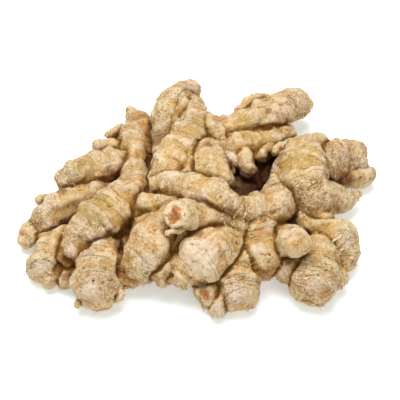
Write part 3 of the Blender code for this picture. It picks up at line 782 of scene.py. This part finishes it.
def skin_finish():
    """Dry papery tan skin, matt, with all its marks, painted shade and painted highlights, and a fine
    roughness.
    """
    material, shader = new_material("ginger_skin")
    tree = material.node_tree
    start = Tone(tree)
    grain = start.kept("grain")
    place = start.node("ShaderNodeTexCoord", output=3)
    ring, spacing, ring_strength = start.kept("ring").parts()
    rust, pale_and_highlight, olive = start.kept("stain_and_highlight").parts()
    shade, pit_shade, crack = start.kept("dark").parts()
    hollow, sunk, tip = start.kept("form").parts()
    scar, openness, rough = start.kept("scar").parts()

    patches = place.noise(42.0, 3.0)
    blotches = place.noise(110.0, 4.0, 0.65)
    mottle = place.noise(260.0, 4.0, 0.7)
    fine = grain.stretched(0.65, 0.65, 1.7).noise(1.0, 2.0, 0.7)
    crumbs = grain.stretched(0.8, 0.8, 1.9).noise(1.0, 2.0, 0.6)
    strokes = grain.stretched(0.4, 0.4, 1.6).noise(1.0, 4.0, 0.75)
    fibres = grain.stretched(1.5, 1.5, 0.14).noise(1.0, 3.0, 0.6)
    flakes = grain.stretched(0.45, 0.45, 0.8).noise(1.0, 3.0, 0.6)
    rough = (rough + blotches * 1.2).between(0.85, 1.45)

    ring_place = ring.math("ABSOLUTE", ring - ring.math("ROUND", ring)) * spacing
    broken = fibres.between(0.4, 0.62)
    ring_line = (1 - ring_place.between(0.1, 0.5)) * ring_strength * (broken * 0.85 + 0.1)
    ragged_place = place.shaken(900.0, 0.0016)
    specks = ragged_place.dots(620.0, 0.22, 0.5) * blotches.between(0.38, 0.62)
    dots = ragged_place.dots(250.0, 0.14, 0.32)
    ragged = mottle * 0.8 + blotches * 0.8
    frayed = blotches * 1.2 + mottle * 0.8 + fine * 0.5
    closed = 1.0 - openness

    colour = patches.between(0.35, 0.65).blend(tint(206, 165, 92), tint(204, 156, 98))
    # Each layer is where it shows, from 0 to 1, and its colour. It lies over the ones above it here.
    layers = [
        # Uneven tan of the dry skin, then a painted highlight, paler where the skin stands out, and
        # painted shade, ochre where it is sunk
        (blotches.between(0.45, 0.7) * 0.5, tint(232, 202, 154)),
        (mottle.between(0.46, 0.72) * 0.55, tint(184, 130, 60)),
        ((sunk * -0.7 + blotches * 1.1).between(0.6, 1.6) * 0.6, tint(234, 211, 176)),
        ((sunk * 0.8 + blotches * 1.1).between(0.5, 1.4) * 0.8, tint(162, 118, 42)),
        # Pale flakes, dark strokes and grains, pale crumbs and fibres
        (flakes.between(0.53, 0.58) * (rough * 0.6 + 0.1), tint(248, 226, 190)),
        (strokes.between(0.53, 0.57) * (rough * 0.5 + 0.3), tint(142, 88, 36)),
        (fine.between(0.54, 0.58) * (rough * 0.4 + 0.12), tint(118, 70, 26)),
        (crumbs.between(0.54, 0.58) * (rough * 0.4 + 0.15), tint(255, 236, 196)),
        (fibres.between(0.52, 0.6) * 0.4, tint(244, 216, 164)),
        # Olive skin, worn ridges whose paleness is partly a painted highlight, and pale marks of worn skin
        # and painted highlights
        ((olive + blotches * 0.7).between(0.55, 1.3) * 0.58, tint(176, 144, 76)),
        ((hollow * -2.6 + blotches * 1.0).between(0.5, 1.5) * 0.38, tint(238, 213, 170)),
        ((pale_and_highlight + strokes * 0.6 + mottle * 0.6).between(0.85, 1.6) * 0.65, tint(238, 215, 190)),
        # Rusty patches and the ends of fingers
        ((rust + ragged).between(1.1, 1.95) * 0.62, tint(188, 116, 54)),
        ((tip + ragged).between(1.3, 2.2) * 0.4, tint(196, 134, 68)),
        # Leaf rings, then small and larger specks
        (ring_line * 0.4, tint(120, 74, 40)),
        (specks * 0.5, tint(126, 78, 44)),
        (dots * 0.5, tint(108, 64, 38)),
        # Painted shade: darker in small hollows, warm where the skin is half closed in between fingers and
        # dark where it is deeply closed in, then the painted shadows and dry dark spots of the shade marks
        ((hollow * 1.8 + mottle * 0.5).between(0.6, 1.6) * 0.8, tint(112, 66, 22)),
        ((closed + mottle * 0.3).between(0.2, 0.85) * 0.45, tint(188, 132, 58)),
        ((closed + mottle * 0.25).between(0.5, 1.02) * 0.9, tint(80, 40, 10)),
        ((shade + ragged).between(0.95, 1.7) * 0.7, tint(128, 76, 44)),
        # Cut faces: a pale rim, tan inside it and brown in the middle
        ((scar + frayed * 0.3).between(0.5, 0.75) * 0.75, tint(240, 214, 172)),
        ((scar + frayed * 0.8).between(1.5, 1.75) * 0.85, tint(196, 126, 64)),
        ((scar + frayed).between(1.95, 2.15) * 0.6, tint(134, 74, 34)),
        # Cracks with dark eyes, and painted shade in the pit
        (crack.between(0.5, 1.0) * 0.75, tint(96, 56, 30)),
        (pit_shade.between(0.15, 0.7) * 0.9, tint(72, 38, 20)),
    ]
    for share, over in layers:
        colour = share.blend(colour, over)
    tree.links.new(colour.socket, shader.inputs["Base Color"])

    dullness = fine.between(0.3, 0.8) * 0.2 + 0.62
    tree.links.new(dullness.socket, shader.inputs["Roughness"])
    height = (crumbs * 0.8 - fine * 0.6 + flakes.between(0.5, 0.57) * 0.5) * (rough * 0.7 + 0.3)
    height = height - strokes * 0.7 + fibres * 0.6 - specks * 0.4 - ring_line * 0.5
    bump = start.node("ShaderNodeBump", inputs={"Strength": 1.0, "Distance": 0.0011, "Height": height})
    tree.links.new(bump.socket, shader.inputs["Normal"])
    shader.inputs["Specular IOR Level"].default_value = 0.16
    return material


skin_mesh.materials.append(skin_finish())
skin_mesh.shade_smooth()
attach(skin, "root")
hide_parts("rhizome")

# The papery scales are what is left of the old leaves: thin dry skin that has come loose along the
# leaf rings, at broken ends and in a few rough places, and curls up at its torn edge.
SCALES = 620
SCALE_LENGTH = (0.9, 2.4)  # mm, from its root to its torn edge
SCALE_WIDTH = (2.0, 6.5)
SCALE_LIFT = (0.25, 0.95)
SCALE_THICKNESS = 0.14
SCALE_ROOT = 0.25  # how deep the root edge lies in the skin
ACROSS = 7  # points across a scale
OUT = 4  # points from its root to its torn edge
LEAST_SCALE_HEIGHT = 4  # mm above the table
SCALE_TURN = 0.25  # how much each one's direction strays from the finger's
SCALE_CURL = 1.6  # power of its rise, 1 for a straight flake
SCALE_CORNERS = 0.4  # how far its two sides reach, of its middle
FLAKY_SPREAD = 1.2  # of a flaky place's radius, past which no more scales are due to it
FLAKY_PLACES = {
    "thick_end": (63, 188, 6), "torn_lobe": (194, 92, 8), "right_side": (347, 250, 12),
    "top_edge": (343, 142, 8), "arm_end": (232, 215, 7), "long_tip": (303, 105, 8),
    "front_edge": (182, 290, 6), "right_body": (308, 200, 14), "rough_patch": (92, 235, 9),
    "left_tip": (50, 280, 6), "low_knob": (305, 295, 12), "cut_rim": (174, 214, 9),
    "red_stub": (265, 270, 7), "finger_end": (290, 133, 6), "flake": (275, 167, 6),
    "front_body": (240, 240, 8), "knob_rim": (107, 242, 7), "stub_rim": (203, 296, 7),
    "stem_foot": (178, 190, 8), "lobe_end": (370, 165, 7),
}

flaky = marked(FLAKY_PLACES, FLAKY_SPREAD)
normals = normals_of(skin_mesh)
# How likely a point of the skin is to carry one: by a ring, in a flaky place or at a finger's end, in
# the open, and never on a cut face or over a crack.
loose = np.exp(-((ring_gap / 0.7) ** 2)) * own * 0.35 + flaky * 1.6 + tip * 0.5
loose *= (points[:, 2] > LEAST_SCALE_HEIGHT) * np.clip(open_share * 2 - 0.6, 0, 1)
loose *= (1 - scar) * (crack < 0.2)
rng = np.random.default_rng(29)
chosen = rng.choice(count, SCALES, replace=False, p=loose / loose.sum())


def on_skin(place, lift):
    """The point that far above the skin, nearest to a place in millimetres."""
    nearest, normal, _, _ = skin_tree.find_nearest(Vector(place) * MM)
    return np.array(nearest) / MM + np.array(normal) * lift


def add_scale(mesh, colours, place, normal, ahead):
    """One curled flake, closed all round, with its root edge sunk in the skin."""
    length = rng.uniform(*SCALE_LENGTH)
    width = rng.uniform(*SCALE_WIDTH)
    lift = rng.uniform(*SCALE_LIFT)
    out = unit(ahead - normal * (ahead @ normal) + rng.normal(size=3) * SCALE_TURN)
    sideways = unit(np.cross(normal, out))
    tear = rng.uniform(0.45, 1.0, ACROSS)
    tear[[0, -1]] *= SCALE_CORNERS
    shade = rng.uniform()
    layers = []
    for sink in (0.0, SCALE_THICKNESS):
        rows = []
        for v in np.linspace(0, 1, OUT):
            row = []
            for u in range(ACROSS):
                side = u / (ACROSS - 1) * 2 - 1
                reach = length * v * tear[u]
                rise = lift * (v * tear[u]) ** SCALE_CURL - SCALE_ROOT * (1 - v) - sink
                point = on_skin(place + sideways * side * width / 2 + out * reach, rise)
                row.append(mesh.verts.new(point * MM))
                colours.append(shade)
            rows.append(row)
        layers.append(rows)
    top, under = layers
    for v in range(OUT - 1):
        for u in range(ACROSS - 1):
            mesh.faces.new((top[v][u], top[v][u + 1], top[v + 1][u + 1], top[v + 1][u]))
            mesh.faces.new((under[v][u], under[v + 1][u], under[v + 1][u + 1], under[v][u + 1]))
    edge = [(0, u) for u in range(ACROSS)] + [(v, ACROSS - 1) for v in range(1, OUT)]
    edge += [(OUT - 1, u) for u in range(ACROSS - 2, -1, -1)] + [(v, 0) for v in range(OUT - 2, 0, -1)]
    for (v, u), (w, x) in zip(edge, edge[1:] + edge[:1]):
        mesh.faces.new((top[w][x], top[v][u], under[v][u], under[w][x]))


def in_box(mesh):
    """Keeps every point of a mesh inside the solid's box."""
    low, high = cad_box
    for vertex in mesh.verts:
        vertex.co = [min(max(value, least), most) for value, least, most in zip(vertex.co, low, high)]


def finished_piece(name, mesh, values, material):
    """A mesh with a shade for each of its points, made into a piece that moves with the rhizome."""
    bmesh.ops.recalc_face_normals(mesh, faces=mesh.faces)
    in_box(mesh)
    data = bpy.data.meshes.new(name)
    mesh.to_mesh(data)
    mesh.free()
    add_values(data, "shade", np.array(values))
    data.materials.append(material)
    data.shade_smooth()
    piece = add_object(name, data)
    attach(piece, "root")
    return piece


def scale_finish():
    """Loose dry skin, of another shade for each flake."""
    material, shader = new_material("papery_scale")
    tree = material.node_tree
    start = Tone(tree)
    shade = start.node("ShaderNodeAttribute", {"attribute_name": "shade"}, output=2)
    place = start.node("ShaderNodeTexCoord", output=3)
    mottle = place.noise(400.0, 3.0, 0.6)
    colour = shade.between(0.1, 0.9).blend(tint(178, 134, 84), tint(236, 206, 160))
    colour = (mottle.between(0.42, 0.62) * 0.6).blend(colour, tint(168, 112, 62))
    tree.links.new(colour.socket, shader.inputs["Base Color"])
    bump = start.node("ShaderNodeBump", inputs={"Strength": 0.6, "Distance": 0.0003, "Height": mottle})
    tree.links.new(bump.socket, shader.inputs["Normal"])
    shader.inputs["Roughness"].default_value = 0.75
    shader.inputs["Specular IOR Level"].default_value = 0.3
    return material


scale_mesh = bmesh.new()
scale_shades = []
for index in chosen:
    add_scale(scale_mesh, scale_shades, points[index], normals[index], growth["ahead"][index])
finished_piece("papery_scales", scale_mesh, scale_shades, scale_finish())

# Rootlets are the dry ends of the thin roots that once fed the rhizome: short stiff hairs that taper
# to a point, in small tufts where the photo shows them and here and there underneath.
ROOTLET_LENGTH = (2.5, 6.0)  # mm
ROOTLET_THICKNESS = 0.28
ROOTLET_TAPER = 0.8  # by how much of that it thins to its point
ROOTLET_ROOT = 0.5  # mm of it below the skin
ROOTLET_SIDES = 6
ROOTLET_STEPS = 6
ROOTLET_SIDE = (0.3, 0.2, 0.9)  # from which its sides are counted
ROOTLET_TURN = 0.35  # how much it strays from straight out of the skin
ROOTLET_BEND = 0.16  # and how much more at each step
ROOTLET_DROOP = 0.1
TABLE_GAP = 0.05  # mm, the least that a rootlet keeps above the table
TUFT_RADIUS = 3.5
TUFTS = {
    "left_tuft": (26, 258, 6), "long_tip": (308, 106, 3), "arm_end": (238, 216, 4),
    "right_side": (352, 262, 4), "left_eye": (36, 262, 3), "body_left": (75, 250, 3),
    "front": (182, 291, 3), "stub": (262, 274, 3), "lobe": (350, 140, 3), "low_knob": (322, 303, 3),
    "thick_end": (60, 190, 3), "saddle": (283, 190, 3),
}
SCATTERED_ROOTLETS = 40
SCATTER_TOP = 14  # mm above the table, up to which they stand


def add_rootlet(mesh, shades, place, way):
    """One thin hair from a place of the skin, bending down a little to its point."""
    length = rng.uniform(*ROOTLET_LENGTH)
    middle = place - way * ROOTLET_ROOT
    rings = []
    for step in range(ROOTLET_STEPS + 1):
        share = step / ROOTLET_STEPS
        thick = ROOTLET_THICKNESS * (1 - ROOTLET_TAPER * share)
        side = unit(np.cross(way, ROOTLET_SIDE))
        other = np.cross(way, side)
        turns = 2 * math.pi * np.arange(ROOTLET_SIDES) / ROOTLET_SIDES
        around = middle + (np.outer(np.cos(turns), side) + np.outer(np.sin(turns), other)) * thick
        around[:, 2] = np.maximum(around[:, 2], TABLE_GAP)
        rings.append([mesh.verts.new(point * MM) for point in around])
        shades.extend([0.15 + 0.3 * share] * ROOTLET_SIDES)
        way = unit(way + rng.normal(size=3) * ROOTLET_BEND + np.array((0, 0, -ROOTLET_DROOP)))
        middle = middle + way * length / ROOTLET_STEPS
    join_rings(mesh, rings)


rootlet_mesh = bmesh.new()
rootlet_shades = []
for across, down, number in TUFTS.values():
    middle = seen_at((across, down))
    if middle:
        near = [index for _, index, _ in tree.find_range(middle / MM, TUFT_RADIUS)]
        for index in rng.choice(near, min(number, len(near)), replace=False):
            way = unit(normals[index] + rng.normal(size=3) * ROOTLET_TURN)
            add_rootlet(rootlet_mesh, rootlet_shades, points[index], way)
heights = points[:, 2]
low_places = (heights > LEAST_HEIGHT) & (heights < SCATTER_TOP) & (open_share > 0.5) & (own > 0.9)
low_places = np.flatnonzero(low_places)
for index in rng.choice(low_places, SCATTERED_ROOTLETS, replace=False):
    way = unit(normals[index] + rng.normal(size=3) * ROOTLET_TURN)
    add_rootlet(rootlet_mesh, rootlet_shades, points[index], way)
finished_piece("rootlets", rootlet_mesh, rootlet_shades, bpy.data.materials["papery_scale"])

# The table under the rhizome is a plain smooth white sheet without an edge in the photo. It is lit
# from within a little, so that the shadows on it stay as faint as they are there.
FLOOR_SIZE = 6.0
FLOOR_COLOUR = (0.78, 0.86, 0.88, 1)
FLOOR_GLOW = 0.36
half = FLOOR_SIZE / 2
corners = [(-half, -half, 0), (half, -half, 0), (half, half, 0), (-half, half, 0)]
floor_mesh = bpy.data.meshes.new("floor")
floor_mesh.from_pydata(corners, [], [(0, 1, 2, 3)])
floor = add_object("floor", floor_mesh)
floor_material, floor_shader = new_material("white_table")
floor_shader.inputs["Base Color"].default_value = FLOOR_COLOUR
floor_shader.inputs["Roughness"].default_value = 0.6
floor_shader.inputs["Emission Color"].default_value = (1, 1, 1, 1)
floor_shader.inputs["Emission Strength"].default_value = FLOOR_GLOW
floor_mesh.materials.append(floor_material)

# Soft studio light: a bright sky all round, one broad lamp high up and a little to the left and behind,
# and a weaker one in front on the right.
SKY_COLOUR = (0.98, 0.95, 0.86, 1.0)
SKY_STRENGTH = 0.36
world = bpy.data.worlds.new("studio")
bpy.context.scene.world = world
world.use_nodes = True
background = world.node_tree.nodes["Background"]
background.inputs["Color"].default_value = SKY_COLOUR
background.inputs["Strength"].default_value = SKY_STRENGTH


def add_lamp(name, place, size, power, colour):
    """A round lamp, its size in metres and its power in watts, that shines at the rhizome."""
    lamp = bpy.data.lights.new(name, "AREA")
    lamp.shape = "DISK"
    lamp.size = size
    lamp.energy = power
    lamp.color = colour
    thing = add_object(name, lamp)
    thing.location = place
    thing.rotation_mode = "QUATERNION"
    thing.rotation_quaternion = (-Vector(place)).to_track_quat("-Z", "Y")


add_lamp("key", (-0.15, 0.2, 1.4), 1.2, 27, (0.97, 1.0, 1.05))
add_lamp("fill", (0.4, -1.2, 1.0), 1.0, 5, (1.0, 1.0, 1.0))
bpy.context.scene.view_settings.view_transform = "Standard"

camera_data = bpy.data.cameras.new("camera")
camera_data.lens = CAMERA_LENS
camera_data.sensor_width = CAMERA_SENSOR
camera_data.clip_start = 0.05
camera = add_object("camera", camera_data)
camera.location = camera_place
camera.rotation_mode = "QUATERNION"
camera.rotation_quaternion = (-camera_back).to_track_quat("-Z", "Y")
bpy.context.scene.camera = camera
